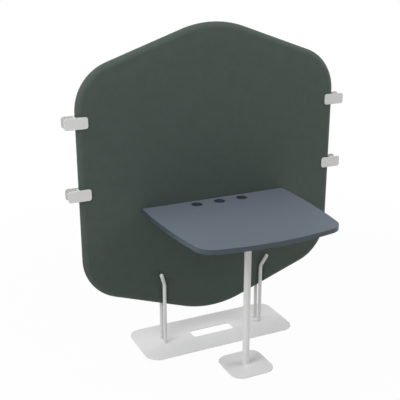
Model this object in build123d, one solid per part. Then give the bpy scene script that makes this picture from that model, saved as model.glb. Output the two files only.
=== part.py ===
from build123d import *
import math
import os

# Desk with a padded privacy screen. Millimetres, +Z up, +X to the right of someone who sits at the desk.
# Every piece is drawn with the screen's middle plane at Y = 0 and the floor at Z = 0. On saving, all
# pieces move along Y together, so that the origin is the bottom centre of the whole object.

# Screen
screen_width = 1338
screen_height = 1429
screen_floor_gap = 151
slope_angle = 19.4
side_corner_radius = 226
apex_radius = 485
core_thickness = 22
padding_thickness = 10
fabric_thickness = 1
seam_flat = 4
core_inset = 10
frame_width = 60
rail_height = 80
slab_gap = 0.4

# Stand under the screen
floor_plate_length = 816
floor_plate_depth = 328
floor_plate_thickness = 5
floor_plate_corner = 66
hand_slot_length = 229
hand_slot_width = 68
hand_slot_corner = 12
rod_span = 541
rod_diameter = 18
rod_bend_height = 327
rod_bend_radius = 45
rod_tip_length = 74
rod_tip_angle = 27
rod_end_rounding = 3
pressed_foam = 1
rod_clearance = 0.2
rod_screw_diameter = 8
rod_screw_head = 15
rod_screw_length = 26
clamp_bolt_diameter = 6
clamp_bolt_head = 10
clamp_bolt_head_height = 5
clamp_bolt_seat = 2
clamp_bolt_grip = 11
clamp_bolt_margin = 18
clamp_bolt_spacing = 30

# Link clips on the screen's side edges
clip_width = 108
clip_height = 53
clip_wall = 4.5
clip_web = 3
clip_corner = 12
clip_edge_rounding = 1
clip_clearance = 0.3
clip_drop = 41
clip_pitch = 331

# Desk top
desk_height = 740
desk_thickness = 22
desk_back_width = 760
desk_front_width = 683
desk_depth = 630
desk_screen_gap = 5
desk_side_bulge = 15.8
desk_front_bow = 43
desk_front_corner = 88
desk_back_corner = 12
laminate_thickness = 0.8
edge_band_thickness = 2
edge_band_rounding = 0.8
grommet_spacing = 120.5
grommet_inset = 54
grommet_flange = 54
grommet_flange_height = 1.2
grommet_body = 49
grommet_wall = 2
grommet_rounding = 0.5

# Leg
leg_setback = 346.5
leg_diameter = 33
leg_wall = 2
leg_top_plate_size = 110
leg_top_plate_thickness = 5
leg_top_plate_corner = 15
leg_top_hole_inset = 13
leg_foot_plate_size = 222
leg_foot_plate_thickness = 5
leg_foot_plate_corner = 57
leg_plug_height = 18
leg_screw_diameter = 10
leg_screw_head = 18
leg_screw_length = 19

# Brackets between the desk top and the screen
bracket_width = 60
bracket_reach = 80
bracket_drop = 70
bracket_thickness = 4
bracket_bend_radius = 6
bracket_span = 460
bracket_screen_hole_drop = 42
bracket_hole_spacing = 34
bracket_desk_hole_inset = 16
bracket_bolt_diameter = 6
bracket_bolt_head = 11
bracket_bolt_head_height = 4
bracket_bolt_tail = 13
spacer_diameter = 12
insert_diameter = 10
insert_length = 16

# Wood screws into the desk top
wood_screw_diameter = 4.5
wood_screw_head = 9
wood_screw_head_height = 3
wood_screw_bite = 15

# Pads under both plates, and what all holes share
pad_diameter = 36
pad_thickness = 1
pad_margin = 26
plate_edge = 0.6
hole_clearance = 0.2
socket_share = 0.5
overrun = 5

# Places worked out from the sizes above
screen_thickness = core_thickness + 2 * (padding_thickness + fabric_thickness)
screen_face = screen_thickness / 2
screen_middle = screen_floor_gap + screen_height / 2
slope = math.radians(slope_angle)
apex_centre = screen_height / 2 - apex_radius
slope_apex = apex_centre + apex_radius / math.cos(slope)
corner_centre_x = screen_width / 2 - side_corner_radius
corner_centre_z = slope_apex - (side_corner_radius + corner_centre_x * math.sin(slope)) / math.cos(slope)
plate_top = pad_thickness + floor_plate_thickness
rod_x = rod_span / 2
rod_radius = rod_diameter / 2
rod_y = core_thickness / 2 + pressed_foam + fabric_thickness + rod_clearance + rod_radius
clip_gap = screen_thickness + 2 * clip_clearance
desk_back = -(screen_face + desk_screen_gap)
desk_front = desk_back - desk_depth
desk_underside = desk_height - desk_thickness
leg_y = desk_back - leg_setback
leg_foot_top = pad_thickness + leg_foot_plate_thickness
leg_head = desk_underside - leg_top_plate_thickness
leg_bore = leg_diameter - 2 * leg_wall
bracket_bolt_z = desk_underside - bracket_screen_hole_drop
origin_y = (floor_plate_depth / 2 + desk_front) / 2


def save(node, shape):
    """Moves the finished piece to the object's own origin and writes it."""
    export_step(Pos(0, -origin_y, 0) * shape, f"parts/{node}.step")


def group(pieces):
    """Separate solids of one kind, held together as one node."""
    return Compound([solid for piece in pieces for solid in piece.solids()])


def rod_along(axis, diameter, start, end):
    """Round bar of this diameter on the Y or Z axis, from start to end."""
    turn = {"Y": Rot(-90, 0, 0), "Z": Rot(0, 0, 0)}[axis]
    bar = Cylinder(diameter / 2, end - start, align=(Align.CENTER, Align.CENTER, Align.MIN))
    return turn * Pos(0, 0, start) * bar


def block(x_range, y_range, z_range):
    """Box between two values on each axis."""
    sizes = [high - low for low, high in (x_range, y_range, z_range)]
    middle = [(high + low) / 2 for low, high in (x_range, y_range, z_range)]
    return Pos(*middle) * Box(*sizes)


def rounded_plate(length, depth, corner, bottom, thickness):
    """Flat plate with round corners, its underside at the height bottom."""
    outline = Plane.XY.offset(bottom) * RectangleRounded(length, depth, corner)
    return extrude(outline, thickness)


def outer_rims(body, axis):
    """Edges round the body's two end faces along this axis."""
    faces = body.faces().sort_by(axis)
    return faces[0].edges() + faces[-1].edges()


def hex_socket(diameter, depth):
    """Cutter for the hexagon socket of a screw head, going up from Z = 0."""
    return extrude(RegularPolygon(diameter * socket_share, 6), depth)


def cap_screw(diameter, head, head_height, length):
    """Screw with a round head: head below Z = 0, shank up to Z = length."""
    shank = rod_along("Z", diameter, -head_height / 2, length)
    top = rod_along("Z", head, -head_height, 0)
    socket = Pos(0, 0, -head_height) * hex_socket(diameter, head_height / 2)
    return shank + top - socket


def flat_screw(diameter, head, length):
    """Countersunk screw: flat head at Z = 0, tapering up into a shank that ends at Z = length."""
    head_height = (head - diameter) / 2
    cone = Cone(head / 2, diameter / 2, head_height, align=(Align.CENTER, Align.CENTER, Align.MIN))
    socket = hex_socket(diameter, head_height)
    return cone + rod_along("Z", diameter, head_height / 2, length) - socket


def countersink(diameter, head, length):
    """Cutter for a flat screw, wider than the screw by the hole clearance all round."""
    wide_head = head + 2 * hole_clearance
    wide = diameter + 2 * hole_clearance
    head_height = (wide_head - wide) / 2
    cone = Cone(wide_head / 2, wide / 2, head_height, align=(Align.CENTER, Align.CENTER, Align.MIN))
    return cone + rod_along("Z", wide, -overrun, length) + rod_along("Z", wide_head, -overrun, 0)


def both_sides(shape):
    """The shape and its mirror image on the other side of the object's middle plane."""
    return [shape, mirror(shape, Plane.YZ)]


def hull_outline(arcs):
    """Closed outline through arcs (x, z, radius, first angle, last angle), joined by straight lines."""
    ends = []
    edges = []
    for x, z, radius, first, last in arcs:
        angles = [math.radians(first + (last - first) * share) for share in (0, 1 / 2, 1)]
        points = [(x + radius * math.cos(a), z + radius * math.sin(a)) for a in angles]
        edges.append(ThreePointArc(*points))
        ends.append((points[0], points[-1]))
    for here, following in zip(ends, ends[1:] + ends[:1]):
        edges.append(Line(here[1], following[0]))
    return make_face(edges)


def screen_board(inset, thickness):
    """Flat board with the screen's outline drawn in by inset, centred on the middle plane."""
    corner = side_corner_radius - inset
    apex = apex_radius - inset
    side = corner_centre_x
    up = corner_centre_z
    tilt = slope_angle
    arcs = [
        (side, up, corner, 0, 90 - tilt),
        (0, apex_centre, apex, 90 - tilt, 90 + tilt),
        (-side, up, corner, 90 + tilt, 180),
        (-side, -up, corner, 180, 270 - tilt),
        (0, -apex_centre, apex, 270 - tilt, 270 + tilt),
        (side, -up, corner, 270 + tilt, 360),
    ]
    board = extrude(Plane.XZ * hull_outline(arcs), thickness / 2, both=True)
    return Pos(0, 0, screen_middle) * board


def soft_board(inset):
    """Screen body with its soft round edge, everything drawn in by inset."""
    thickness = screen_thickness - 2 * inset
    board = screen_board(inset, thickness)
    return fillet(outer_rims(board, Axis.Y), (thickness - seam_flat) / 2)


def lower_edge_height(x, inset):
    """Height above the floor of the slanting lower edge at x, drawn in by inset."""
    return screen_middle - slope_apex + inset / math.cos(slope) + x * math.tan(slope)


def halves(shape):
    """What lies in front of and behind the screen's middle plane."""
    wide = (-screen_width, screen_width)
    tall = (0, screen_floor_gap + 2 * screen_height)
    front = block(wide, (-screen_thickness, 0), tall)
    rear = block(wide, (0, screen_thickness), tall)
    return shape & front, shape & rear


def rod_bar(diameter, bottom):
    """Right front rod as a plain bar: upright, then bent forwards and outwards at the top."""
    lean = math.radians(rod_tip_angle)
    sideways = rod_tip_length * math.sin(lean) / math.sqrt(2)
    foot = (rod_x, -rod_y, bottom)
    bend = (rod_x, -rod_y, rod_bend_height)
    tip = (rod_x + sideways, -rod_y - sideways, rod_bend_height + rod_tip_length * math.cos(lean))
    path = FilletPolyline(foot, bend, tip, radius=rod_bend_radius)
    section = Plane(origin=foot, z_dir=(0, 0, 1)) * Circle(diameter / 2)
    return sweep(section, path=path)


def four_rods(shape):
    """The shape at the right front rod and at the other three: left front, right rear, left rear."""
    front = both_sides(shape)
    return front + [mirror(piece, Plane.XZ) for piece in front]


def clamp_bolt_heights():
    """Heights of the two bolts that hold each pair of rods to the bottom of the frame."""
    first = lower_edge_height(rod_x, core_inset) + clamp_bolt_margin
    return [first, first + clamp_bolt_spacing]


def clamp_bolt():
    """Bolt from the rear rod's back through the frame into the front rod, lying along Y."""
    seat = rod_y + rod_radius - clamp_bolt_seat
    reach = seat + rod_y - rod_radius + clamp_bolt_grip
    screw = cap_screw(clamp_bolt_diameter, clamp_bolt_head, clamp_bolt_head_height, reach)
    return Pos(0, seat, 0) * Rot(90, 0, 0) * screw


def clamp_holes():
    """Cutters for the four clamp bolts, through the whole screen and the rear rods."""
    wide = clamp_bolt_diameter + 2 * hole_clearance
    end = -(rod_y - rod_radius + clamp_bolt_grip + hole_clearance)
    hole = rod_along("Y", wide, end, rod_y + rod_diameter)
    return [Pos(x, 0, z) * hole for x in (-rod_x, rod_x) for z in clamp_bolt_heights()]


def clamp_seats():
    """Cutters for the flat seats of the bolt heads in the rear rods."""
    wide = clamp_bolt_head + 2 * hole_clearance
    seat = rod_along("Y", wide, rod_y + rod_radius - clamp_bolt_seat, rod_y + rod_diameter)
    return [Pos(x, 0, z) * seat for x in (-rod_x, rod_x) for z in clamp_bolt_heights()]


def bracket_bolt_places():
    """X of the four bolts that hold the two brackets to the screen."""
    sides = (-bracket_span / 2, bracket_span / 2)
    return [side + step * bracket_hole_spacing / 2 for side in sides for step in (-1, 1)]


def frame_opening():
    """Room inside the frame, above and below its cross rail."""
    inside = screen_board(core_inset + frame_width, core_thickness)
    half = rail_height / 2
    rail = block(
        (-screen_width, screen_width),
        (-screen_thickness, screen_thickness),
        (bracket_bolt_z - half, bracket_bolt_z + half),
    )
    return inside - rail


def core_frame():
    """Plywood frame with a cross rail at the height of the brackets."""
    frame = screen_board(core_inset, core_thickness) - frame_opening()
    socket_bottom = -core_thickness / 2 + insert_length + hole_clearance
    wide = insert_diameter + 2 * hole_clearance
    socket = rod_along("Y", wide, -core_thickness, socket_bottom)
    sockets = [Pos(x, 0, bracket_bolt_z) * socket for x in bracket_bolt_places()]
    return frame - clamp_holes() - sockets


def absorber(upper):
    """Sound-absorbing slab that fills the frame above or below the rail."""
    inside = screen_board(core_inset + frame_width + slab_gap, core_thickness)
    half = rail_height / 2 + slab_gap
    if upper:
        span = (bracket_bolt_z + half, screen_middle + screen_height)
    else:
        span = (-screen_height, bracket_bolt_z - half)
    wide = (-screen_width, screen_width)
    return inside & block(wide, (-screen_thickness, screen_thickness), span)


def spacer_holes():
    """Cutters for the four spacers, from the frame's front out past the front cover."""
    wide = spacer_diameter + 2 * hole_clearance
    hole = rod_along("Y", wide, -screen_thickness, -core_thickness / 2)
    return [Pos(x, 0, bracket_bolt_z) * hole for x in bracket_bolt_places()]


def screen_layers():
    """Foam body and fabric skin of the screen, with the grooves in which the rods lie."""
    groove = rod_diameter + 2 * rod_clearance
    lined = groove + 2 * fabric_thickness
    body = soft_board(0) - four_rods(rod_bar(groove, -overrun)) - clamp_holes() - spacer_holes()
    foam = soft_board(fabric_thickness) - four_rods(rod_bar(lined, -overrun)) - clamp_holes() - spacer_holes()
    skin = body - foam
    foam = foam - screen_board(core_inset, core_thickness)
    return foam, skin


def floor_plate():
    """Steel plate with a long slot in the middle and countersunk holes for the rods' screws."""
    plate = rounded_plate(
        floor_plate_length, floor_plate_depth, floor_plate_corner, pad_thickness, floor_plate_thickness
    )
    plate = chamfer(plate.edges(), plate_edge)
    slot = rounded_plate(hand_slot_length, hand_slot_width, hand_slot_corner, -overrun, plate_top + 2 * overrun)
    holes = [Pos(x, y, pad_thickness) * countersink(rod_screw_diameter, rod_screw_head, plate_top + overrun)
             for x in (-rod_x, rod_x) for y in (-rod_y, rod_y)]
    return plate - slot - holes


def floor_plate_pads():
    """Thin round pads under the floor plate, one near each corner and two between them."""
    x_far = floor_plate_length / 2 - pad_margin - pad_diameter / 2
    y_far = floor_plate_depth / 2 - pad_margin - pad_diameter / 2
    pad = rod_along("Z", pad_diameter, 0, pad_thickness)
    return [Pos(x, y, 0) * pad for x in (-x_far, 0, x_far) for y in (-y_far, y_far)]


def finished_rod():
    """Right front rod with its rounded top end and the threaded hole in its foot."""
    bar = rod_bar(rod_diameter, plate_top)
    rim = bar.edges().group_by(Axis.Z)[-1]
    bar = fillet(rim, rod_end_rounding)
    depth = pad_thickness + rod_screw_length + hole_clearance
    wide = rod_screw_diameter + 2 * hole_clearance
    return bar - Pos(rod_x, -rod_y, 0) * rod_along("Z", wide, 0, depth)


def rod_foot_screws():
    """The four flat screws that come up through the floor plate into the rods."""
    screw = flat_screw(rod_screw_diameter, rod_screw_head, rod_screw_length)
    return [Pos(x, y, pad_thickness) * screw for x in (-rod_x, rod_x) for y in (-rod_y, rod_y)]


def clamp_bolts():
    """The four bolts of the clamp joint."""
    return [Pos(x, 0, z) * clamp_bolt() for x in (-rod_x, rod_x) for z in clamp_bolt_heights()]


def link_clip(middle_height):
    """Right link clip: a front and a rear plate joined by a web that stands against the screen's edge."""
    web_start = screen_width / 2 + clip_clearance
    middle = web_start + clip_web / 2
    outer = clip_gap / 2 + clip_wall
    profile = Plane.XZ * RectangleRounded(clip_width, clip_height, clip_corner)
    body = Pos(middle, 0, middle_height) * extrude(profile, outer, both=True)
    body = fillet(outer_rims(body, Axis.Y), clip_edge_rounding)
    across = (-clip_gap / 2, clip_gap / 2)
    tall = (middle_height - clip_height, middle_height + clip_height)
    inner = block((web_start - clip_width, web_start), across, tall)
    outer_gap = block((web_start + clip_web, web_start + clip_web + clip_width), across, tall)
    return body - inner - outer_gap


def clip_heights():
    """Middle heights of the upper and the lower clips on each side edge."""
    upper = screen_middle + corner_centre_z - clip_drop
    return {"upper": upper, "lower": upper - clip_pitch}


def desk_outline(inset):
    """Outline of the desk top: straight back, bulging sides and a bowed front, drawn in by inset."""
    half_back = desk_back_width / 2
    half_front = desk_front_width / 2
    front_corner = desk_front + desk_front_bow
    middle_y = (desk_back + front_corner) / 2
    half_middle = (half_back + half_front) / 2 + desk_side_bulge
    back = Line((half_back, desk_back), (-half_back, desk_back))
    left = ThreePointArc((-half_back, desk_back), (-half_middle, middle_y), (-half_front, front_corner))
    front = ThreePointArc((-half_front, front_corner), (0, desk_front), (half_front, front_corner))
    right = ThreePointArc((half_front, front_corner), (half_middle, middle_y), (half_back, desk_back))
    face = make_face([back, left, front, right])
    corners = face.vertices().sort_by(Axis.Y)
    face = fillet(corners[:2], desk_front_corner)
    face = fillet(face.vertices().sort_by(Axis.Y)[-2:], desk_back_corner)
    if inset:
        face = offset(face, -inset)
    return face


def desk_layer(inset, bottom, thickness):
    """Flat layer of the desk top from the height bottom upwards."""
    return extrude(Pos(0, 0, bottom) * desk_outline(inset), thickness)


def grommet_places():
    """X and Y of the three cable outlets near the back edge."""
    return [(step * grommet_spacing, desk_back - grommet_inset) for step in (-1, 0, 1)]


def grommet_holes():
    """Cutters for the three cable outlets."""
    wide = grommet_body + 2 * hole_clearance
    hole = rod_along("Z", wide, desk_underside - overrun, desk_height + overrun)
    return [Pos(x, y, 0) * hole for x, y in grommet_places()]


def wood_screw_places():
    """X, Y and seat height of the screws that go up into the desk top, by the node they belong to."""
    reach = leg_top_plate_size / 2 - leg_top_hole_inset
    leg = [(x, leg_y + y, leg_head) for x in (-reach, reach) for y in (-reach, reach)]
    seat = desk_underside - bracket_thickness
    far = -(screen_face + bracket_reach - bracket_desk_hole_inset)
    bracket = [(x, far, seat) for x in bracket_bolt_places()]
    return {"leg_top_screws": leg, "bracket_desk_screws": bracket}


def wood_screw_holes():
    """Cutters for the wood screws in the desk top."""
    wide = wood_screw_diameter + 2 * hole_clearance
    hole = rod_along("Z", wide, desk_underside - overrun, desk_underside + wood_screw_bite + hole_clearance)
    return [Pos(x, y, 0) * hole for places in wood_screw_places().values() for x, y, _ in places]


def wood_screws(node):
    """Round-head screws of this node, heads below the plate and shanks up into the desk top."""
    places = wood_screw_places()[node]
    grip = desk_underside - places[0][2]
    screw = cap_screw(wood_screw_diameter, wood_screw_head, wood_screw_head_height, grip + wood_screw_bite)
    return [Pos(*place) * screw for place in places]


def desk_board():
    """Chipboard core of the desk top."""
    bottom = desk_underside + laminate_thickness
    thickness = desk_thickness - 2 * laminate_thickness
    board = desk_layer(edge_band_thickness, bottom, thickness)
    return board - grommet_holes() - wood_screw_holes()


def desk_laminate(bottom):
    """Thin laminate sheet on the top or the underside of the board."""
    sheet = desk_layer(edge_band_thickness, bottom, laminate_thickness)
    return sheet - grommet_holes() - wood_screw_holes()


def desk_edge_band():
    """Edge strip round the whole desk top, its outer edges slightly rounded."""
    outside = desk_layer(0, desk_underside, desk_thickness)
    outside = fillet(outer_rims(outside, Axis.Z), edge_band_rounding)
    inside = desk_layer(edge_band_thickness, desk_underside - overrun, desk_thickness + 2 * overrun)
    return outside - inside


def cable_grommet():
    """Cable outlet ring: a flange on the desk top and a sleeve down to its underside."""
    flange = rod_along("Z", grommet_flange, desk_height, desk_height + grommet_flange_height)
    flange = fillet(flange.edges().group_by(Axis.Z)[-1], grommet_rounding)
    sleeve = rod_along("Z", grommet_body, desk_underside, desk_height)
    bore = rod_along("Z", grommet_body - 2 * grommet_wall, desk_underside - overrun, desk_height + overrun)
    return flange + sleeve - bore


def leg_tube():
    """Round steel tube from the foot plate up to the top plate."""
    tube = rod_along("Z", leg_diameter, leg_foot_top, leg_head)
    return Pos(0, leg_y, 0) * (tube - rod_along("Z", leg_bore, leg_foot_top, leg_head))


def leg_top_plate():
    """Square steel plate on the tube's top end, screwed to the desk top from below."""
    size = leg_top_plate_size
    plate = rounded_plate(size, size, leg_top_plate_corner, leg_head, leg_top_plate_thickness)
    plate = Pos(0, leg_y, 0) * plate
    hole = rod_along("Z", wood_screw_diameter + 2 * hole_clearance, leg_head - overrun, desk_height)
    return plate - [Pos(x, y, 0) * hole for x, y, _ in wood_screw_places()["leg_top_screws"]]


def leg_foot_plug():
    """Threaded steel plug inside the tube's bottom end."""
    plug = rod_along("Z", leg_bore, leg_foot_top, leg_foot_top + leg_plug_height)
    hole = rod_along("Z", leg_screw_diameter + 2 * hole_clearance, 0, leg_foot_top + leg_plug_height + overrun)
    return Pos(0, leg_y, 0) * (plug - hole)


def leg_foot_plate():
    """Square steel plate with large round corners under the leg."""
    size = leg_foot_plate_size
    plate = rounded_plate(size, size, leg_foot_plate_corner, pad_thickness, leg_foot_plate_thickness)
    plate = chamfer(plate.edges(), plate_edge)
    hole = Pos(0, 0, pad_thickness) * countersink(leg_screw_diameter, leg_screw_head, leg_foot_top + overrun)
    return Pos(0, leg_y, 0) * (plate - hole)


def leg_foot_screw():
    """Flat screw from below through the foot plate into the plug."""
    return Pos(0, leg_y, pad_thickness) * flat_screw(leg_screw_diameter, leg_screw_head, leg_screw_length)


def leg_plate_pads():
    """Thin round pads under the leg's foot plate, one near each corner."""
    far = leg_foot_plate_size / 2 - pad_margin - pad_diameter / 2
    pad = rod_along("Z", pad_diameter, 0, pad_thickness)
    return [Pos(x, leg_y + y, 0) * pad for x in (-far, far) for y in (-far, far)]


def desk_bracket():
    """Right angle bracket: one flange under the desk top, the other against the screen."""
    x_range = (bracket_span / 2 - bracket_width / 2, bracket_span / 2 + bracket_width / 2)
    face = -screen_face
    flat = block(x_range, (face - bracket_reach, face), (desk_underside - bracket_thickness, desk_underside))
    upright = block(x_range, (face - bracket_thickness, face), (desk_underside - bracket_drop, desk_underside))
    body = flat + upright
    inner = (face - bracket_thickness, desk_underside - bracket_thickness)
    bends = body.edges().filter_by(Axis.X).sort_by(
        lambda edge: math.hypot(edge.center().Y - inner[0], edge.center().Z - inner[1]))
    body = fillet(bends[:1], bracket_bend_radius)
    upright_wide = bracket_bolt_diameter + 2 * hole_clearance
    bolt_hole = rod_along("Y", upright_wide, face - bracket_thickness - overrun, 0)
    screw_wide = wood_screw_diameter + 2 * hole_clearance
    screw_hole = rod_along("Z", screw_wide, desk_underside - bracket_drop, desk_height)
    bolts = [Pos(x, 0, bracket_bolt_z) * bolt_hole for x in bracket_bolt_places()]
    screws = [Pos(x, y, 0) * screw_hole for x, y, _ in wood_screw_places()["bracket_desk_screws"]]
    return body - bolts - screws


def bracket_screen_bolts():
    """Four bolts through the brackets and spacers into the inserts in the frame's rail."""
    seat = screen_face + bracket_thickness
    reach = seat - core_thickness / 2 + bracket_bolt_tail
    screw = cap_screw(bracket_bolt_diameter, bracket_bolt_head, bracket_bolt_head_height, reach)
    return [Pos(x, -seat, bracket_bolt_z) * Rot(-90, 0, 0) * screw for x in bracket_bolt_places()]


def bracket_spacers():
    """Four short tubes that carry the brackets' pull past the foam to the frame."""
    tube = rod_along("Y", spacer_diameter, -screen_face, -core_thickness / 2)
    bore = rod_along("Y", bracket_bolt_diameter + 2 * hole_clearance, -screen_thickness, 0)
    return [Pos(x, 0, bracket_bolt_z) * (tube - bore) for x in bracket_bolt_places()]


def core_inserts():
    """Four threaded inserts in the frame's rail."""
    start = -core_thickness / 2
    tube = rod_along("Y", insert_diameter, start, start + insert_length)
    bore = rod_along("Y", bracket_bolt_diameter + 2 * hole_clearance, -screen_thickness, core_thickness)
    return [Pos(x, 0, bracket_bolt_z) * (tube - bore) for x in bracket_bolt_places()]


os.makedirs("parts", exist_ok=True)

save("floor_plate", floor_plate())
save("floor_plate_pads", group(floor_plate_pads()))
save("rod_foot_screws", group(rod_foot_screws()))
save("rod_clamp_bolts", group(clamp_bolts()))

front_right, front_left, rear_right, rear_left = four_rods(finished_rod())
cutters = clamp_holes() + clamp_seats()
save("rod_front_left", front_left - clamp_holes())
save("rod_front_right", front_right - clamp_holes())
save("rod_rear_left", rear_left - cutters)
save("rod_rear_right", rear_right - cutters)

save("core_frame", core_frame())
save("absorber_upper", absorber(True))
save("absorber_lower", absorber(False))
for node, layer in zip(("padding", "cover"), screen_layers()):
    front, rear = halves(layer)
    save(f"{node}_front", front)
    save(f"{node}_rear", rear)

for level, height in clip_heights().items():
    right_clip, left_clip = both_sides(link_clip(height))
    save(f"link_clip_right_{level}", right_clip)
    save(f"link_clip_left_{level}", left_clip)

save("desk_board", desk_board())
save("desk_top_laminate", desk_laminate(desk_height - laminate_thickness))
save("desk_under_laminate", desk_laminate(desk_underside))
save("desk_edge_band", desk_edge_band())
for name, place in zip(("left", "middle", "right"), grommet_places()):
    save(f"cable_grommet_{name}", Pos(*place, 0) * cable_grommet())

save("leg_tube", leg_tube())
save("leg_top_plate", leg_top_plate())
save("leg_top_screws", group(wood_screws("leg_top_screws")))
save("leg_foot_plug", leg_foot_plug())
save("leg_foot_plate", leg_foot_plate())
save("leg_foot_screw", leg_foot_screw())
save("leg_plate_pads", group(leg_plate_pads()))

right_bracket, left_bracket = both_sides(desk_bracket())
save("desk_bracket_right", right_bracket)
save("desk_bracket_left", left_bracket)
save("bracket_desk_screws", group(wood_screws("bracket_desk_screws")))
save("bracket_screen_bolts", group(bracket_screen_bolts()))
save("bracket_spacers", group(bracket_spacers()))
save("core_inserts", group(core_inserts()))
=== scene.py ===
# %% [markdown]
# # A desk top on one leg, fixed to a padded floor screen
# This lesson dresses a finished CAD model. The CAD gives every rigid piece in its true size: plates, rods,
# clips, desk top and screws. Blender adds what CAD is bad at: upholstery, finishes, light and a camera. All
# lengths are metres, +Z is up, and the person at the desk looks along +Y at the screen.

# %% Load the CAD model
import bmesh
import bpy
import math
from mathutils import Matrix, Vector


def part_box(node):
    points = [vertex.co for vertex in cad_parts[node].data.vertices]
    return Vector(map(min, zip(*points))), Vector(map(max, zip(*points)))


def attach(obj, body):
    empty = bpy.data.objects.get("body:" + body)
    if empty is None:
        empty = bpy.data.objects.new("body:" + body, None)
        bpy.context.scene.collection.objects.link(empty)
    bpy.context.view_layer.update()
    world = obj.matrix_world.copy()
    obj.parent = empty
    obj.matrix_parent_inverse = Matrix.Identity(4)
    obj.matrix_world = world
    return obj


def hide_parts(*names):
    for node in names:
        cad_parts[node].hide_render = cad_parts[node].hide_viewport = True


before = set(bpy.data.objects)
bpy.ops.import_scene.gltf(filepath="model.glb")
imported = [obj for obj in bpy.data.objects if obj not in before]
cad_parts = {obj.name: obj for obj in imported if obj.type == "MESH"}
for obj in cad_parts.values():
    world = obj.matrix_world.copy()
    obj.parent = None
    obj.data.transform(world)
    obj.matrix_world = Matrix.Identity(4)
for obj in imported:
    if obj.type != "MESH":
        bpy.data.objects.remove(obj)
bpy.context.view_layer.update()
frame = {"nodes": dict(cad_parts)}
nodes = frame["nodes"]

# %% [markdown]
# ## Shader maths as plain Python
# A procedural finish is a small calculation that runs at every point of a surface. Wired by hand it is a
# page of Math nodes. A class that wraps a socket and overloads the operators lets us write the same thing
# as a formula, and one method makes every other kind of node. It costs a few lines here and makes each
# finish below readable.

# %% A socket that can be calculated with
class Value:
    """An output socket. Each operator adds the Math node that does it."""

    def __init__(self, nodes, socket):
        self.nodes = nodes
        self.socket = socket

    def math(self, operation, *numbers):
        return self.nodes.node("ShaderNodeMath", {"operation": operation}, dict(enumerate(numbers)))

    def __add__(self, other):
        return self.math("ADD", self, other)

    def __sub__(self, other):
        return self.math("SUBTRACT", self, other)

    def __rsub__(self, other):
        return self.math("SUBTRACT", other, self)

    def __mul__(self, other):
        return self.math("MULTIPLY", self, other)

    def __pow__(self, power):
        return self.math("POWER", self, power)

    def __rpow__(self, base):
        return self.math("POWER", base, self)

    __radd__ = __add__
    __rmul__ = __mul__

    def sin(self):
        return self.math("SINE", self)

    def abs(self):
        return self.math("ABSOLUTE", self)

    def at_most(self, limit):
        return self.math("MINIMUM", self, limit)

    def between(self, low, high):
        """0 at low and below, 1 at high and above, with a smooth climb."""
        sockets = {0: self, 1: low, 2: high, 3: 0, 4: 1}
        return self.nodes.node("ShaderNodeMapRange", {"interpolation_type": "SMOOTHSTEP"}, sockets)


print("a value can be added to, taken from, multiplied and raised")

# %% One method for all other nodes
class Nodes:
    """The node tree of a material or of the world."""

    def __init__(self, owner):
        owner.use_nodes = True
        self.tree = owner.node_tree

    def feed(self, socket, value):
        """Links a calculated value to the socket, or writes a plain number or colour on it."""
        if isinstance(value, Value):
            self.tree.links.new(value.socket, socket)
        elif socket.type == "RGBA" and len(value) == 3:
            socket.default_value = (*value, 1)
        else:
            socket.default_value = value

    def node(self, kind, settings, sockets, output=0):
        """Adds a node of any kind: first its settings, then its sockets."""
        made = self.tree.nodes.new(kind)
        for key, value in settings.items():
            setattr(made, key, value)
        for key, value in sockets.items():
            self.feed(made.inputs[key], value)
        return Value(self, made.outputs[output])

    def seen(self):
        """1 where the camera looks, also by way of gloss or glass, and 0 for the light on the object."""
        rays = ("Is Camera Ray", "Is Glossy Ray", "Is Transmission Ray")
        camera, glossy, through = (self.node("ShaderNodeLightPath", {}, {}, ray) for ray in rays)
        return (camera + glossy + through).at_most(1.0)


print("a node tree can add any node and feed any socket")

# %% A material and its patterns
class Finish(Nodes):
    """A material under construction."""

    def __init__(self, name, color, roughness, metallic=0.0, **fixed):
        self.material = bpy.data.materials.new(name)
        super().__init__(self.material)
        self.shader = self.tree.nodes["Principled BSDF"]
        self.set("Base Color", color)
        self.set("Roughness", roughness)
        self.set("Metallic", metallic)
        for socket, value in fixed.items():
            self.set(socket.replace("_", " "), value)

    def set(self, socket, value):
        self.feed(self.shader.inputs[socket], value)

    def point(self):
        """The point on the surface, in metres, as one vector."""
        return self.node("ShaderNodeTexCoord", {}, {}, "Object")

    def place(self):
        """The same point as separate x, y and z."""
        point = self.point()
        return [self.node("ShaderNodeSeparateXYZ", {}, {0: point}, axis) for axis in "XYZ"]

    def stretched(self, x, y, z):
        """A vector from three values, for a texture that is longer one way."""
        return self.node("ShaderNodeCombineXYZ", {}, {"X": x, "Y": y, "Z": z})

    def noise(self, scale, detail=2.0, roughness=0.5, at=None):
        """Soft noise from 0 to 1, with scale blobs per metre."""
        sockets = {"Scale": scale, "Detail": detail, "Roughness": roughness, "Vector": at or self.point()}
        return self.node("ShaderNodeTexNoise", {}, sockets)

    def cells(self, scale):
        """Distance to the nearest of many scattered points, scale points per metre."""
        return self.node("ShaderNodeTexVoronoi", {}, {"Vector": self.point(), "Scale": scale})

    def mix(self, share, first, second):
        """The first colour at share 0, the second at share 1."""
        return self.node("ShaderNodeMix", {"data_type": "RGBA"}, {0: share, 6: first, 7: second}, 2)

    def bump(self, height, distance, strength):
        """Relief of this height map, distance metres tall."""
        sockets = {"Height": height, "Distance": distance, "Strength": strength}
        return self.node("ShaderNodeBump", {}, sockets)


print("a finish has noise, cells, mix and bump")

# %% Colours
def linear(red, green, blue):
    """The linear colour that shows as this 0 to 255 screen colour."""
    shares = (level / 255 for level in (red, green, blue))
    return tuple(((share + 0.055) / 1.055) ** 2.4 if share > 0.04 else share / 12.92 for share in shares)


def scaled(color, factor):
    """A lighter or darker version of a colour."""
    return tuple(min(1.0, c * factor) for c in color)


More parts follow.
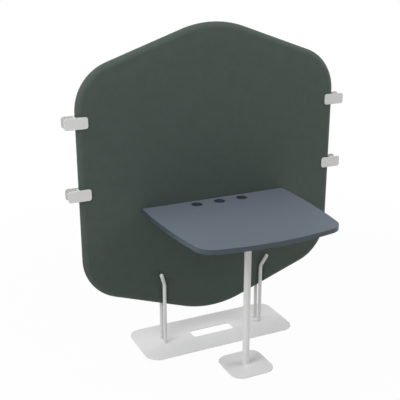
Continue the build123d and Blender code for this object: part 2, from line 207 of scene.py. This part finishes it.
print("mid grey is", [round(c, 3) for c in linear(128, 128, 128)])

# %% [markdown]
# ## Powder coat
# The steel plates, rods, leg and clips have a light grey powder coat. Baked powder never flows quite flat:
# it keeps a fine orange peel about a millimetre across, and a few dull specks. A photographed texture would
# need a UV map on every plate and rod. Noise in object space fits any shape, so one fine noise gives the
# peel, one wide noise lets tone and gloss drift a little, and scattered points give the specks.

# %% Powder coat
def powder_coat(name, color, roughness=0.42):
    finish = Finish(name, color, roughness, IOR=1.5)
    peel = finish.noise(900, detail=1.0)
    drift = finish.noise(9, detail=3.0)
    specks = finish.cells(420).between(0.0, 0.16)
    tone = finish.mix(drift, scaled(color, 0.975), scaled(color, 1.02))
    finish.set("Base Color", finish.mix(specks, scaled(color, 0.93), tone))
    finish.set("Roughness", roughness + (drift - 0.5) * 0.12 + (peel - 0.5) * 0.06)
    finish.set("Normal", finish.bump(peel, 0.00006, 0.55))
    return finish.material


# These four greys are copies of one powder coat. Each is made lighter or darker as painted light and shade
# for how lit its parts are.
plate_grey_painted_light = powder_coat("plate_powder_coat_painted_light", linear(219, 219, 219), roughness=0.5)
tube_grey_painted_light = powder_coat("tube_powder_coat_painted_light", linear(216, 216, 215))
rod_grey_painted_light = powder_coat("rod_powder_coat_painted_light", linear(206, 206, 205))
clip_grey_painted_light = powder_coat("clip_powder_coat_painted_light", linear(198, 198, 197))
print("powder coats:", [coat.name for coat in (plate_grey_painted_light, tube_grey_painted_light, rod_grey_painted_light, clip_grey_painted_light)])

# %% [markdown]
# ## Desk laminate and its edge strip
# A matt laminate is printed paper in resin with a very fine leathery texture. One flat colour would do from
# afar, but close up the real one is made of tiny lighter and darker fibres, so a noise that is stretched
# along x mixes two tones. The front of a used top is rubbed a little smoother by sleeves, so the roughness
# falls towards the sitting side. The edge strip is extruded plastic, so its lines run round the top. Its
# upper corner gets a painted highlight, and its dark blue is partly its own colour and partly painted
# shade.

# %% Desk laminate
desk_low, desk_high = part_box("desk_top_laminate")
sleeve_reach = 0.22


def desk_laminate(name, color, roughness):
    finish = Finish(name, color, roughness, IOR=1.42)
    x, y, z = finish.place()
    fibres = finish.noise(1, detail=2.0, at=finish.stretched(x * 260, y * 1500, z * 900))
    grain = finish.noise(1600, detail=1.0)
    cloud = finish.noise(5, detail=2.0)
    tone = finish.mix(fibres.between(0.3, 0.7), scaled(color, 0.93), scaled(color, 1.07))
    finish.set("Base Color", finish.mix(cloud * 0.5, tone, scaled(color, 1.03)))
    rubbed = 1 - y.between(desk_low.y, desk_low.y + sleeve_reach)
    finish.set("Roughness", roughness - rubbed * 0.05 + (cloud - 0.5) * 0.08 + (grain - 0.5) * 0.06)
    finish.set("Normal", finish.bump(grain + fibres * 0.5, 0.00005, 0.5))
    return finish.material


desk_blue = linear(85, 94, 103)
top_laminate = desk_laminate("blue_laminate", desk_blue, 0.64)
under_laminate = desk_laminate("under_laminate", linear(112, 116, 120), 0.6)
print("desk depth", round(desk_high.y - desk_low.y, 3))

# %% Edge strip
highlight_band_height = 0.0011


def edge_strip(name, color):
    """Extruded plastic strip: a faint run of lines along its length, and a painted highlight on its top
    corner.
    """
    finish = Finish(name, color, 0.45, IOR=1.48)
    x, y, z = finish.place()
    lines = finish.noise(1, detail=1.0, at=finish.stretched(x * 6, y * 6, z * 2600))
    blotch = finish.noise(26, detail=3.0)
    # Painted highlight along the strip's top corner: the top millimetre is mixed towards a lighter blue.
    corner = z.between(desk_high.z - highlight_band_height, desk_high.z - highlight_band_height / 5)
    tone = finish.mix(blotch * 0.6 + lines * 0.2, scaled(color, 0.94), scaled(color, 1.06))
    finish.set("Base Color", finish.mix(corner * 0.35, tone, scaled(color, 1.5)))
    finish.set("Roughness", 0.42 + (lines - 0.5) * 0.12 + (blotch - 0.5) * 0.1)
    finish.set("Normal", finish.bump(lines, 0.00004, 0.6))
    return finish.material


# The strip's dark blue is partly its own colour and partly painted shade for its upright front face.
edge_blue_painted_light = edge_strip("desk_edge_strip_painted_light", linear(50, 65, 74))
strip_low, strip_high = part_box("desk_edge_band")
print("edge strip height", round(strip_high.z - strip_low.z, 3))

# %% [markdown]
# ## Small and hidden materials
# Pieces under the desk and inside the screen could all share one grey, because the camera's own view never
# shows them. They get real finishes instead, for someone who takes the model apart: plywood shows its
# layers on the cut edge, chipboard its chips, felt its fibres and zinc-plated steel a cool streaky shine.
# Each is a recipe of two or three patterns in sizes and tones of its own, so it costs only a few lines.

# %% Moulded plastic, rubber and zinc-plated steel
def moulded_plastic(name, color):
    finish = Finish(name, color, 0.5, IOR=1.47)
    pores = finish.noise(2200, detail=1.0)
    wear = finish.noise(60, detail=3.0)
    finish.set("Base Color", finish.mix(wear, scaled(color, 0.85), scaled(color, 1.2)))
    finish.set("Roughness", 0.44 + wear * 0.14)
    finish.set("Normal", finish.bump(pores, 0.00005, 0.6))
    return finish.material


def rubber_pad(name, color):
    finish = Finish(name, color, 0.85)
    dust = finish.noise(140, detail=4.0)
    finish.set("Base Color", finish.mix(dust.between(0.35, 0.8), color, scaled(color, 2.2)))
    finish.set("Roughness", 0.78 + dust * 0.15)
    finish.set("Normal", finish.bump(dust, 0.0002, 0.4))
    return finish.material


def zinc_steel(name, color):
    finish = Finish(name, color, 0.35, metallic=1.0)
    x, y, z = finish.place()
    streaks = finish.noise(1, detail=2.0, at=finish.stretched(x * 500, y * 500, z * 4000))
    bloom = finish.noise(180, detail=3.0)
    finish.set("Base Color", finish.mix(bloom, scaled(color, 0.86), scaled(color, 1.08)))
    finish.set("Roughness", 0.26 + bloom * 0.18 + streaks * 0.06)
    finish.set("Normal", finish.bump(streaks, 0.00004, 0.5))
    return finish.material


# The outlets' very dark blue is painted shade: it stands for the shade seen inside the cable holes.
outlet_painted_shade = moulded_plastic("outlet_plastic_painted_shade", linear(26, 37, 48))
pad_black = rubber_pad("pad_rubber", linear(38, 38, 38))
screw_zinc = zinc_steel("screw_zinc", linear(186, 188, 192))
print("small materials:", outlet_painted_shade.name, pad_black.name, screw_zinc.name)

# %% Plywood, chipboard and felt
def plywood(name, pale, dark, two_plies=0.0044):
    finish = Finish(name, pale, 0.6)
    x, y, z = finish.place()
    plies = (y * (2 * math.pi / two_plies)).sin().between(-0.3, 0.3)
    grain = finish.noise(1, detail=4.0, at=finish.stretched(x * 90, y * 600, z * 8))
    tone = finish.mix(grain.between(0.3, 0.75), pale, scaled(pale, 0.82))
    finish.set("Base Color", finish.mix(plies * 0.35, tone, dark))
    finish.set("Roughness", 0.55 + grain * 0.2)
    finish.set("Normal", finish.bump(grain, 0.0003, 0.4))
    return finish.material


def chipboard(name, pale, dark):
    finish = Finish(name, pale, 0.8)
    chips = finish.cells(260)
    dust = finish.noise(700, detail=3.0)
    finish.set("Base Color", finish.mix((chips * 0.7 + dust * 0.5).between(0.25, 0.85), dark, pale))
    finish.set("Roughness", 0.72 + dust * 0.2)
    finish.set("Normal", finish.bump(chips + dust, 0.0005, 0.6))
    return finish.material


def needled_felt(name, color):
    finish = Finish(name, color, 0.95)
    x, y, z = finish.place()
    fibres = finish.noise(1, detail=5.0, roughness=0.7, at=finish.stretched(x * 900, y * 300, z * 400))
    tufts = finish.noise(40, detail=3.0)
    # Painted shade: the felt is darker where its fibres and tufts are low, the same pattern that gives the
    # bump.
    shaded_depth = fibres * 0.7 + tufts * 0.3
    finish.set("Base Color", finish.mix(shaded_depth, scaled(color, 0.7), scaled(color, 1.25)))
    finish.set("Normal", finish.bump(fibres + tufts, 0.0008, 0.6))
    return finish.material


birch_ply = plywood("core_plywood", linear(205, 176, 134), linear(150, 116, 78))
desk_chips = chipboard("desk_chipboard", linear(188, 160, 120), linear(120, 92, 62))
grey_felt = needled_felt("absorber_felt", linear(170, 166, 156))
print("hidden materials:", birch_ply.name, desk_chips.name, grey_felt.name)

# %% [markdown]
# ## Wool upholstery
# The screen is covered in a dense grey-green wool cloth. Each yarn is about 1.3 mm wide and made of lighter
# and darker hairs, so the colour is a mixture that only looks plain from afar. Real yarns would take
# millions of faces, so the weave is a pattern: a product of two waves, over and under. It needs no UV map,
# because x and z run over the faces, and y is added to both so that the pattern also goes round the rounded
# edge. A weak sheen is the fuzz that catches light at a grazing angle.

# %% Wool cloth
def wool_cloth(name, color, yarn=0.0013):
    finish = Finish(name, color, 0.66, Sheen_Weight=0.3, Sheen_Roughness=0.4, IOR=1.42)
    finish.set("Sheen Tint", scaled(color, 5.0))
    x, y, z = finish.place()
    drift = (finish.noise(60, detail=1.0) - 0.5) * (yarn * 0.5)
    round_edge = y * 0.8
    warp = (x + round_edge + drift) * (math.pi / yarn)
    weft = (z + round_edge + drift) * (math.pi / yarn)
    over = warp.sin() * weft.sin()
    weave = over.abs() ** 0.6
    upwards = finish.stretched(x * 1500, y * 500, z * 170)
    sideways = finish.stretched(x * 170, y * 500, z * 1500)
    hairs_up = finish.noise(1, detail=3.0, roughness=0.65, at=upwards)
    hairs_across = finish.noise(1, detail=3.0, roughness=0.65, at=sideways)
    crossing = over.between(-0.2, 0.2)
    hairs = hairs_up * crossing + hairs_across * (1 - crossing)
    slubs_up = finish.noise(1, detail=2.0, at=finish.stretched(x * 420, y * 200, z * 28))
    slubs_across = finish.noise(1, detail=2.0, at=finish.stretched(x * 28, y * 200, z * 420))
    slubs = slubs_up * crossing + slubs_across * (1 - crossing)
    patches = finish.noise(24, detail=3.0, roughness=0.55)
    melange = finish.mix(hairs.between(0.3, 0.7), scaled(color, 0.66), scaled(color, 1.36))
    yarns = finish.mix(slubs.between(0.32, 0.72), scaled(color, 0.82), melange)
    # Painted shade: the colour darkens towards the valleys between the yarns, where the weave is low.
    shaded_valleys = finish.mix(0.42 - weave * 0.42, yarns, scaled(color, 0.3))
    finish.set("Base Color", finish.mix(patches.between(0.25, 0.8) * 0.35, shaded_valleys, scaled(color, 1.12)))
    finish.set("Roughness", 0.58 + patches * 0.1 + slubs * 0.06)
    finish.set("Normal", finish.bump(weave * 0.7 + hairs * 0.35 + slubs * 0.3, 0.0006, 0.7))
    return finish.material


wool_color = linear(62, 74, 68)
wool = wool_cloth("screen_wool", wool_color)
print("wool colour", [round(c, 3) for c in wool_color])

# %% [markdown]
# ## The shape of the screen
# The screen's outline is a rounded rectangle whose top and bottom rise to a soft point: on each quarter
# there is a straight side, a corner arc, a straight slope and half of the apex arc. A Bezier curve could
# draw it, but its points crowd together in the bends. Walking along one quarter by length and mirroring it
# gives evenly spaced points all the way round, each with the direction that points outwards, which the
# padded edge needs.

# %% Measure the screen
front_low, front_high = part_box("cover_front")
_, rear_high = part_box("cover_rear")
screen_width = front_high.x - front_low.x
screen_height = front_high.z - front_low.z
screen_centre = Vector((0, front_high.y, (front_low.z + front_high.z) / 2))
half_thickness = rear_high.y - front_high.y
slope_angle = math.radians(19.4)
corner_radius = 0.226
apex_radius = 0.485
apex_centre = screen_height / 2 - apex_radius
corner_x = screen_width / 2 - corner_radius
slope_apex = apex_centre + apex_radius / math.cos(slope_angle)
corner_z = slope_apex - (corner_radius + corner_x * math.sin(slope_angle)) / math.cos(slope_angle)
arc_end = math.pi / 2 - slope_angle
print("screen", round(screen_width, 3), "x", round(screen_height, 3), "m")

# %% Walk round the outline
def arc_point(x, z, radius, angle):
    out = (math.cos(angle), math.sin(angle))
    return (x + radius * out[0], z + radius * out[1], *out)


corner_top = arc_point(corner_x, corner_z, corner_radius, arc_end)
apex_start = arc_point(0, apex_centre, apex_radius, arc_end)
slope_length = math.dist(corner_top[:2], apex_start[:2])
quarter_lengths = [corner_z, corner_radius * arc_end, slope_length, apex_radius * slope_angle]
quarter_length = sum(quarter_lengths)


def quarter_point(way):
    """Point and outward direction (x, z, out_x, out_z) at this length along the upper right quarter."""
    side, corner, slope, _ = quarter_lengths
    if way <= side:
        return (screen_width / 2, way, 1.0, 0.0)
    way -= side
    if way <= corner:
        return arc_point(corner_x, corner_z, corner_radius, way / corner_radius)
    way -= corner
    if way <= slope:
        share = way / slope
        x, z = (a + (b - a) * share for a, b in zip(corner_top[:2], apex_start[:2]))
        return (x, z, *apex_start[2:])
    return arc_point(0, apex_centre, apex_radius, arc_end + (way - slope) / apex_radius)


def outline_point(turn):
    """The same for the whole outline: turn goes from 0 to 1 round it, from the middle of the right side."""
    quarter = int(turn * 4 % 4)
    share = turn * 4 % 1
    x, z, out_x, out_z = quarter_point((1 - share if quarter % 2 else share) * quarter_length)
    flip_x = -1 if quarter in (1, 2) else 1
    flip_z = -1 if quarter in (2, 3) else 1
    return (x * flip_x, z * flip_z, out_x * flip_x, out_z * flip_z)


print("length round the outline", round(quarter_length * 4, 3), "m")

# %% [markdown]
# ## Where things press into the padding
# Each rod lies half sunk in the padding, so the cloth dips towards it and closes round it. The dip could be
# sculpted, but then it would not be the same each time and might touch the rod. Here it is worked out from
# the distance to the rod's centre line: inside the rod's width the cloth follows the rod, and beyond it the
# cloth climbs back to the face over a few centimetres. Where the rod bends away from the face, the dip
# fades out.

# %% The rods' centre lines
rod_low, rod_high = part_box("rod_front_right")
rod_radius = 0.009
rod_x = rod_low.x + rod_radius
rod_lift = screen_centre.y - (rod_high.y - rod_radius)
rod_bend_height = 0.327
rod_tip_angle = math.radians(27)
rod_bend_radius = 0.045


def rod_centre(height):
    """Sideways place and lift off the middle plane of the right rod's centre line at this height."""
    bend_start = rod_bend_height - rod_bend_radius * math.tan(rod_tip_angle / 2)
    if height <= bend_start:
        return (rod_x, rod_lift)
    climb = min(height - bend_start, rod_bend_radius * math.sin(rod_tip_angle))
    lean = rod_bend_radius - math.sqrt(rod_bend_radius ** 2 - climb ** 2)
    lean += max(0.0, height - bend_start - climb) * math.tan(rod_tip_angle)
    return (rod_x + lean / math.sqrt(2), rod_lift + lean / math.sqrt(2))


print("rod centre and lift", round(rod_x, 4), round(rod_lift, 4))
print("at its tip", [round(v, 4) for v in rod_centre(rod_high.z)])

# %% The dip beside a rod
cloth_gap = 0.0003
grip_share = 0.78
dip_width = 0.026


def smooth(share):
    """Soft climb from 0 to 1, flat at both ends."""
    share = min(1.0, max(0.0, share))
    return share * share * (3 - 2 * share)


def rod_dip(x, height):
    """Greatest distance from the middle plane that the cloth may have here because of the rods."""
    centre, lift = rod_centre(height)
    across = abs(abs(x) - centre)
    reach = rod_radius + cloth_gap
    grip = reach * grip_share
    if across <= grip:
        return lift - math.sqrt(reach ** 2 - across ** 2)
    if across >= grip + dip_width:
        return math.inf
    held = lift - math.sqrt(reach ** 2 - grip ** 2)
    return held + smooth((across - grip) / dip_width) * max(0.0, half_thickness - held)


print("deepest dip", round((half_thickness - rod_dip(rod_x, rod_low.z)) * 1000, 1), "mm")

# %% [markdown]
# ## The padded faces
# Each face of the screen is a crowned cushion: cloth over wadding on a frame. A disc of triangles would
# pinch in its middle, and a plane cut to the outline would have ragged cells along its rim. So the mesh is
# a square grid that is bent to the outline, ring by ring, and its cells stay even. Outside the grid come
# the rings of the round edge. Tight cloth makes that edge less full than a quarter circle, so it follows a
# superellipse: a fullness of 2 would be the circle and 1 a plain bevel. Then the cloth turns in at the seam
# and closes behind the wadding. The face starts flat and a little low, because the cloth solver swells it
# later.

# %% Grid and rings
grid_half = 48
edge_steps = 9
edge_depth = half_thickness - 0.002
edge_inset = 0.026
edge_fullness = 1.5
start_low = 0.0008
core_inset = 0.010
core_face = 0.011
core_gap = 0.0002
seam_gap = 0.0003
seam_turn = [(0.0000, 0.0014), (0.0004, 0.0008), (0.0013, 0.0004), (0.0030, seam_gap)]


def ring_turns(ring):
    """The turn of each grid point on this square ring."""
    return [step / (8 * ring) for step in range(8 * ring)]


def edge_profile():
    """Inset from the outline and distance from the middle plane, over the soft edge and in at the seam."""
    face = half_thickness - start_low
    drop = edge_depth - start_low
    power = 2 / edge_fullness
    profile = []
    for step in range(1, edge_steps + 1):
        angle = math.pi / 2 * step / edge_steps
        inset = edge_inset * (1 - math.sin(angle) ** power)
        profile.append((inset, face - drop * (1 - math.cos(angle) ** power)))
    inner_wall = core_inset - core_gap
    return profile + seam_turn + [(inner_wall, seam_gap), (inner_wall, core_face + core_gap / 2)]


def shell_rings():
    """Rings of points (x, z, distance from the middle plane), from the grid's centre to the seam."""
    face = half_thickness - start_low
    rings = [[(0.0, 0.0, face)]]
    for ring in range(1, grid_half + 1):
        share = ring / grid_half
        points = []
        for turn in ring_turns(ring):
            x, z, out_x, out_z = outline_point(turn)
            points.append(((x - out_x * edge_inset) * share, (z - out_z * edge_inset) * share, face))
        rings.append(points)
    around = [outline_point(turn) for turn in ring_turns(grid_half)]
    for inset, height in edge_profile():
        rings.append([(x - out_x * inset, z - out_z * inset, height) for x, z, out_x, out_z in around])
    return rings


print("grid cell about", round(screen_width / 2 / grid_half * 1000, 1), "mm")

# %% Faces between the rings
def shell_faces(rings):
    """Quads that join each ring to the one inside it, and a last face that closes the cushion behind."""
    starts = [0]
    for ring in rings:
        starts.append(starts[-1] + len(ring))

    def point(ring, place):
        return starts[ring] + place % len(rings[ring])

    faces = []
    for ring in range(1, grid_half + 1):
        for side in range(4):
            corner = (2 * side - 1) * ring
            inner = (2 * side - 1) * (ring - 1)
            before, after = point(ring, corner - 1), point(ring, corner + 1)
            faces.append((before, point(ring, corner), after, point(ring - 1, inner)))
            for step in range(1, 2 * ring - 1):
                outer_pair = (point(ring, corner + step), point(ring, corner + step + 1))
                inner_pair = (point(ring - 1, inner + step), point(ring - 1, inner + step - 1))
                faces.append(outer_pair + inner_pair)
    for ring in range(grid_half + 1, len(rings)):
        for step in range(len(rings[ring])):
            outer_pair = (point(ring, step), point(ring, step + 1))
            inner_pair = (point(ring - 1, step + 1), point(ring - 1, step))
            faces.append(outer_pair + inner_pair)
    last = len(rings) - 1
    faces.append(tuple(point(last, step) for step in reversed(range(len(rings[last])))))
    return faces


print("quads in the grid", (2 * grid_half) ** 2)

# %% Make both cushions
def padded_face(name, side):
    """Closed cushion on the front (side -1) or the rear (side 1) of the screen."""
    rings = shell_rings()
    middle_y, middle_z = screen_centre.y, screen_centre.z
    points = [(x, middle_y + side * height, z + middle_z) for ring in rings for x, z, height in ring]
    faces = shell_faces(rings)
    if side == 1:
        faces = [face[::-1] for face in faces]
    mesh = bpy.data.meshes.new(name)
    mesh.from_pydata(points, [], faces)
    mesh.update()
    made = bpy.data.objects.new(name, mesh)
    bpy.context.scene.collection.objects.link(made)
    return made


front_pad = padded_face("screen_front_upholstery", -1)
rear_pad = padded_face("screen_rear_upholstery", 1)
print("points per face", len(front_pad.data.vertices), "faces", len(front_pad.data.polygons))

# %% [markdown]
# ## The wadding pushes the cloth out
# On the real screen the cloth is pulled over foam that wants to be thicker than it may, so it bulges a
# little everywhere except where something holds it: at the seam, round the rods and under the feet of the
# desk's brackets. The cloth solver finds that form. It blows the cover up with an even pressure and no
# gravity, with those places pinned. Foam is not air: it can't be sucked in, so only outward moves are kept,
# and it stops at its own thickness, so the way that a point may move is capped, softly, at a few
# millimetres. Along the edges the cap is lower, because the link clips slide there with the screen between
# their plates.

# %% How far the cloth may move
swell_cap = 0.0026
beside_clip = 0.004
clip_band = screen_width / 2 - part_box("link_clip_right_lower")[0].x + beside_clip
clip_band_fade = 0.035


def swell_room(x, z):
    """How far the cloth may move here, with x and z from the screen's centre."""
    to_side = screen_width / 2 - abs(x)
    to_slope = (slope_apex - abs(z)) * math.cos(slope_angle) - abs(x) * math.sin(slope_angle)
    share = smooth((min(to_side, to_slope) - clip_band) / clip_band_fade)
    return start_low + (swell_cap - start_low) * share


print("room at the middle", round(swell_room(0, 0) * 1000, 1), "mm, at the side",
      round(swell_room(screen_width / 2, 0) * 1000, 1), "mm")

# %% Where the cloth is held
bracket_x = 0.230
bracket_z = 0.683
bracket_reach = 0.036
pinned_depth = core_face + 0.0008


def held_points(pad):
    """Numbers of the points at the seam, on the inner wall, under the rods and under the bracket feet."""
    held = []
    for vertex in pad.data.vertices:
        x, y, z = vertex.co
        away = y - screen_centre.y
        under_rod = z < rod_high.z and abs(abs(x) - rod_centre(z)[0]) < rod_radius
        at_bracket = away < 0 and math.hypot(abs(x) - bracket_x, z - bracket_z) < bracket_reach
        if abs(away) < pinned_depth or under_rod or at_bracket:
            held.append(vertex.index)
    return held


print("points held, front and rear", [len(held_points(pad)) for pad in (front_pad, rear_pad)])

# %% Swell the covers with the cloth solver
swell_frames = 20


def swell(pad):
    """Blows the cover up against its pins and keeps each point's way under its cap."""
    start = [(vertex.co.copy(), vertex.normal.copy()) for vertex in pad.data.vertices]
    pad.vertex_groups.new(name="held").add(held_points(pad), 1.0, "REPLACE")
    cloth = pad.modifiers.new("cover", "CLOTH")
    cloth.settings.quality = 3
    cloth.settings.mass = 0.4
    cloth.settings.tension_stiffness = 25
    cloth.settings.compression_stiffness = 25
    cloth.settings.bending_stiffness = 2
    cloth.settings.use_pressure = True
    cloth.settings.uniform_pressure_force = 4
    cloth.settings.vertex_group_mass = "held"
    cloth.settings.effector_weights.gravity = 0
    for number in range(1, swell_frames + 1):
        bpy.context.scene.frame_set(number)
    blown = pad.evaluated_get(bpy.context.evaluated_depsgraph_get()).data
    moves = [after.co - before for after, (before, _) in zip(blown.vertices, start)]
    pad.modifiers.clear()
    pad.vertex_groups.clear()
    bpy.context.scene.frame_set(1)
    ways = []
    for vertex, (before, normal), move in zip(pad.data.vertices, start, moves):
        move -= normal * min(0.0, move.dot(normal))
        if move.length > 1e-7:
            room = swell_room(before.x, before.z - screen_centre.z)
            move *= room * (1 - math.exp(-move.length / room)) / move.length
            vertex.co = before + move
        ways.append(move.length)
    ways.sort()
    return ways[len(ways) // 2], ways[-1]


for pad in (front_pad, rear_pad):
    middle, most = swell(pad)
    print(pad.name, "middling way", round(middle * 1000, 2), "mm, most", round(most * 1000, 2), "mm")

# %% [markdown]
# ## The rods press in
# The rods' grooves are narrower than the solver's cells, so the solver can't form them. Finer cells
# everywhere would slow it down a lot. Instead the mesh is divided again after it, only near the rods, and
# each point that stands in a rod's way goes back to the dip that was worked out above.

# %% Divide near the rods and press them in
fine_reach = 0.042
fine_top = 0.43
seam_zone = 0.0025
wall_end = core_face + 0.0005
least_cover = core_face + 0.0012


def press_rods(pad, side):
    """Adds cells beside the rods and moves the cloth back to leave room for them."""
    work = bmesh.new()
    work.from_mesh(pad.data)

    def beside_rod(point):
        centre, _ = rod_centre(point.z)
        near_rod = abs(abs(point.x) - centre) < fine_reach and point.z < fine_top
        return near_rod and abs(point.y - screen_centre.y) > seam_zone

    near = [edge for edge in work.edges if all(beside_rod(v.co) for v in edge.verts)]
    bmesh.ops.subdivide_edges(work, edges=near, cuts=3, use_grid_fill=True)
    for vertex in work.verts:
        away = (vertex.co.y - screen_centre.y) * side
        allowed = rod_dip(vertex.co.x, vertex.co.z)
        if away > wall_end and away > allowed:
            vertex.co.y = screen_centre.y + side * max(allowed, least_cover)
    work.to_mesh(pad.data)
    work.free()


for pad, side in ((front_pad, -1), (rear_pad, 1)):
    press_rods(pad, side)
    pad.data.polygons.foreach_set("use_smooth", [True] * len(pad.data.polygons))
    pad.data.materials.append(wool)
    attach(pad, "screen_and_desk")
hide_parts("cover_front", "padding_front")
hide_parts("cover_rear", "padding_rear")
print("faces after dividing", len(front_pad.data.polygons))

# %% [markdown]
# ## Finishes on the CAD pieces
# A CAD piece keeps its shape and only gets a material. One table says which finish each piece has, and the
# loop stops with a plain error if a piece is left out.

# %% Paint the CAD pieces
painted = {
    plate_grey_painted_light: ["floor_plate", "leg_foot_plate"],
    tube_grey_painted_light: ["leg_tube", "leg_top_plate", "desk_bracket_left", "desk_bracket_right"],
    rod_grey_painted_light: ["rod_front_left", "rod_front_right", "rod_rear_left", "rod_rear_right"],
    clip_grey_painted_light: [name for name in nodes if name.startswith("link_clip")],
    top_laminate: ["desk_top_laminate"],
    under_laminate: ["desk_under_laminate"],
    edge_blue_painted_light: ["desk_edge_band"],
    outlet_painted_shade: [name for name in nodes if name.startswith("cable_grommet")],
    pad_black: ["floor_plate_pads", "leg_plate_pads"],
    screw_zinc: ["rod_foot_screws", "rod_clamp_bolts", "leg_top_screws", "leg_foot_plug", "leg_foot_screw",
                 "bracket_desk_screws", "bracket_screen_bolts", "bracket_spacers", "core_inserts"],
    birch_ply: ["core_frame"],
    desk_chips: ["desk_board"],
    grey_felt: ["absorber_upper", "absorber_lower"],
}
covered = {"cover_front", "cover_rear", "padding_front", "padding_rear"}
for finish, names in painted.items():
    for name in names:
        nodes[name].data.materials.clear()
        nodes[name].data.materials.append(finish)
left_out = set(nodes) - covered - {name for names in painted.values() for name in names}
assert not left_out, left_out
print("painted", sum(map(len, painted.values())), "CAD pieces")

# %% [markdown]
# ## Floor and light
# The object stands on a plain white floor in soft studio light. A large lamp on the left gives the rounded
# edge its bright side, one on the right keeps the plates under the desk light, and a third, high up behind
# the screen, makes upward faces brighter than upright ones. The world fills the rest evenly. The camera
# sees a white world and a nearly white floor, but the floor still receives the shadow.

# %% Floor
floor_reach = 14
near_white = 0.955


def white_floor():
    finish = Finish("studio_floor", (0.65, 0.65, 0.65), 0.9)
    white = finish.node("ShaderNodeEmission", {}, {"Color": (1, 1, 1), "Strength": 1.0})
    x, y, _ = finish.place()
    far = ((x * x + y * y) ** 0.5).between(1.2, 3.5)
    share = finish.seen() * (near_white + far * (1 - near_white))
    plain = Value(finish, finish.shader.outputs[0])
    both = finish.node("ShaderNodeMixShader", {}, {0: share, 1: plain, 2: white})
    finish.feed(finish.tree.nodes["Material Output"].inputs["Surface"], both)
    return finish.material


floor_mesh = bpy.data.meshes.new("studio_floor")
floor_mesh.from_pydata([(x, y, 0) for x, y in ((-1, -1), (1, -1), (1, 1), (-1, 1))], [], [(0, 1, 2, 3)])
floor_mesh.transform(Matrix.Diagonal((floor_reach, floor_reach, 1, 1)))
floor_mesh.materials.append(white_floor())
floor = bpy.data.objects.new("studio_floor", floor_mesh)
bpy.context.scene.collection.objects.link(floor)
print("floor", [round(side, 1) for side in floor.dimensions[:2]])

# %% Lamps and world
def soft_lamp(name, place, aim, size, power):
    lamp = bpy.data.lights.new(name, "AREA")
    lamp.shape = "DISK"
    lamp.size = size
    lamp.energy = power
    made = bpy.data.objects.new(name, lamp)
    made.location = place
    beam = Vector(aim) - Vector(place)
    made.rotation_euler = beam.to_track_quat("-Z", "Y").to_euler()
    bpy.context.scene.collection.objects.link(made)
    return made


def studio_world(fill):
    """White where the camera looks, and light of this strength on the object."""
    world = bpy.data.worlds.new("studio")
    sky = Nodes(world)
    background = sky.tree.nodes["Background"]
    sky.feed(background.inputs["Color"], (1, 1, 1))
    sky.feed(background.inputs["Strength"], fill + sky.seen() * (1 - fill))
    bpy.context.scene.world = world


studio_world(0.5)
above = soft_lamp("lamp_above", place=(-1.2, 0.7, 4.5), aim=(0, 0.1, 0.8), size=2.4, power=51)
left = soft_lamp("lamp_left", place=(-2.9, -1.1, 2.8), aim=(0, 0.1, 0.6), size=2.6, power=86)
right = soft_lamp("lamp_right", place=(3.0, -1.2, 3.4), aim=(0, 0, 0.5), size=2.6, power=69)
print("lamps", above.name, left.name, right.name)

# %% [markdown]
# ## Camera
# The view was worked out from the straight edges of the picture: the lens, the height of the eye and the
# direction. A camera could be turned by hand until it looks right, or by a constraint that tracks a point,
# but neither gives a known roll. A camera's own axes are right, up and backwards, so its rotation is a
# matrix with those three directions.

# %% Camera
eye = Vector((-1.54732, -2.91772, 1.91634))
yaw = math.radians(25.839)
pitch = math.radians(18.603)
roll = math.radians(-0.184)
ahead = Vector((math.sin(yaw) * math.cos(pitch), math.cos(yaw) * math.cos(pitch), -math.sin(pitch)))
level = ahead.cross(Vector((0, 0, 1))).normalized()
upright = level.cross(ahead)
right_hand = level * math.cos(roll) - upright * math.sin(roll)
up = level * math.sin(roll) + upright * math.cos(roll)
camera = bpy.data.cameras.new("photo_view")
camera.lens = 68.018
camera.sensor_width = 36
camera.shift_x = -0.0237
camera.shift_y = -0.0052
viewer = bpy.data.objects.new("photo_view", camera)
viewer.matrix_world = Matrix((
    (right_hand.x, up.x, -ahead.x, eye.x),
    (right_hand.y, up.y, -ahead.y, eye.y),
    (right_hand.z, up.z, -ahead.z, eye.z),
    (0, 0, 0, 1),
))
bpy.context.scene.collection.objects.link(viewer)
bpy.context.scene.camera = viewer
bpy.context.scene.view_settings.view_transform = "Standard"
print("camera", [round(v, 2) for v in viewer.location])
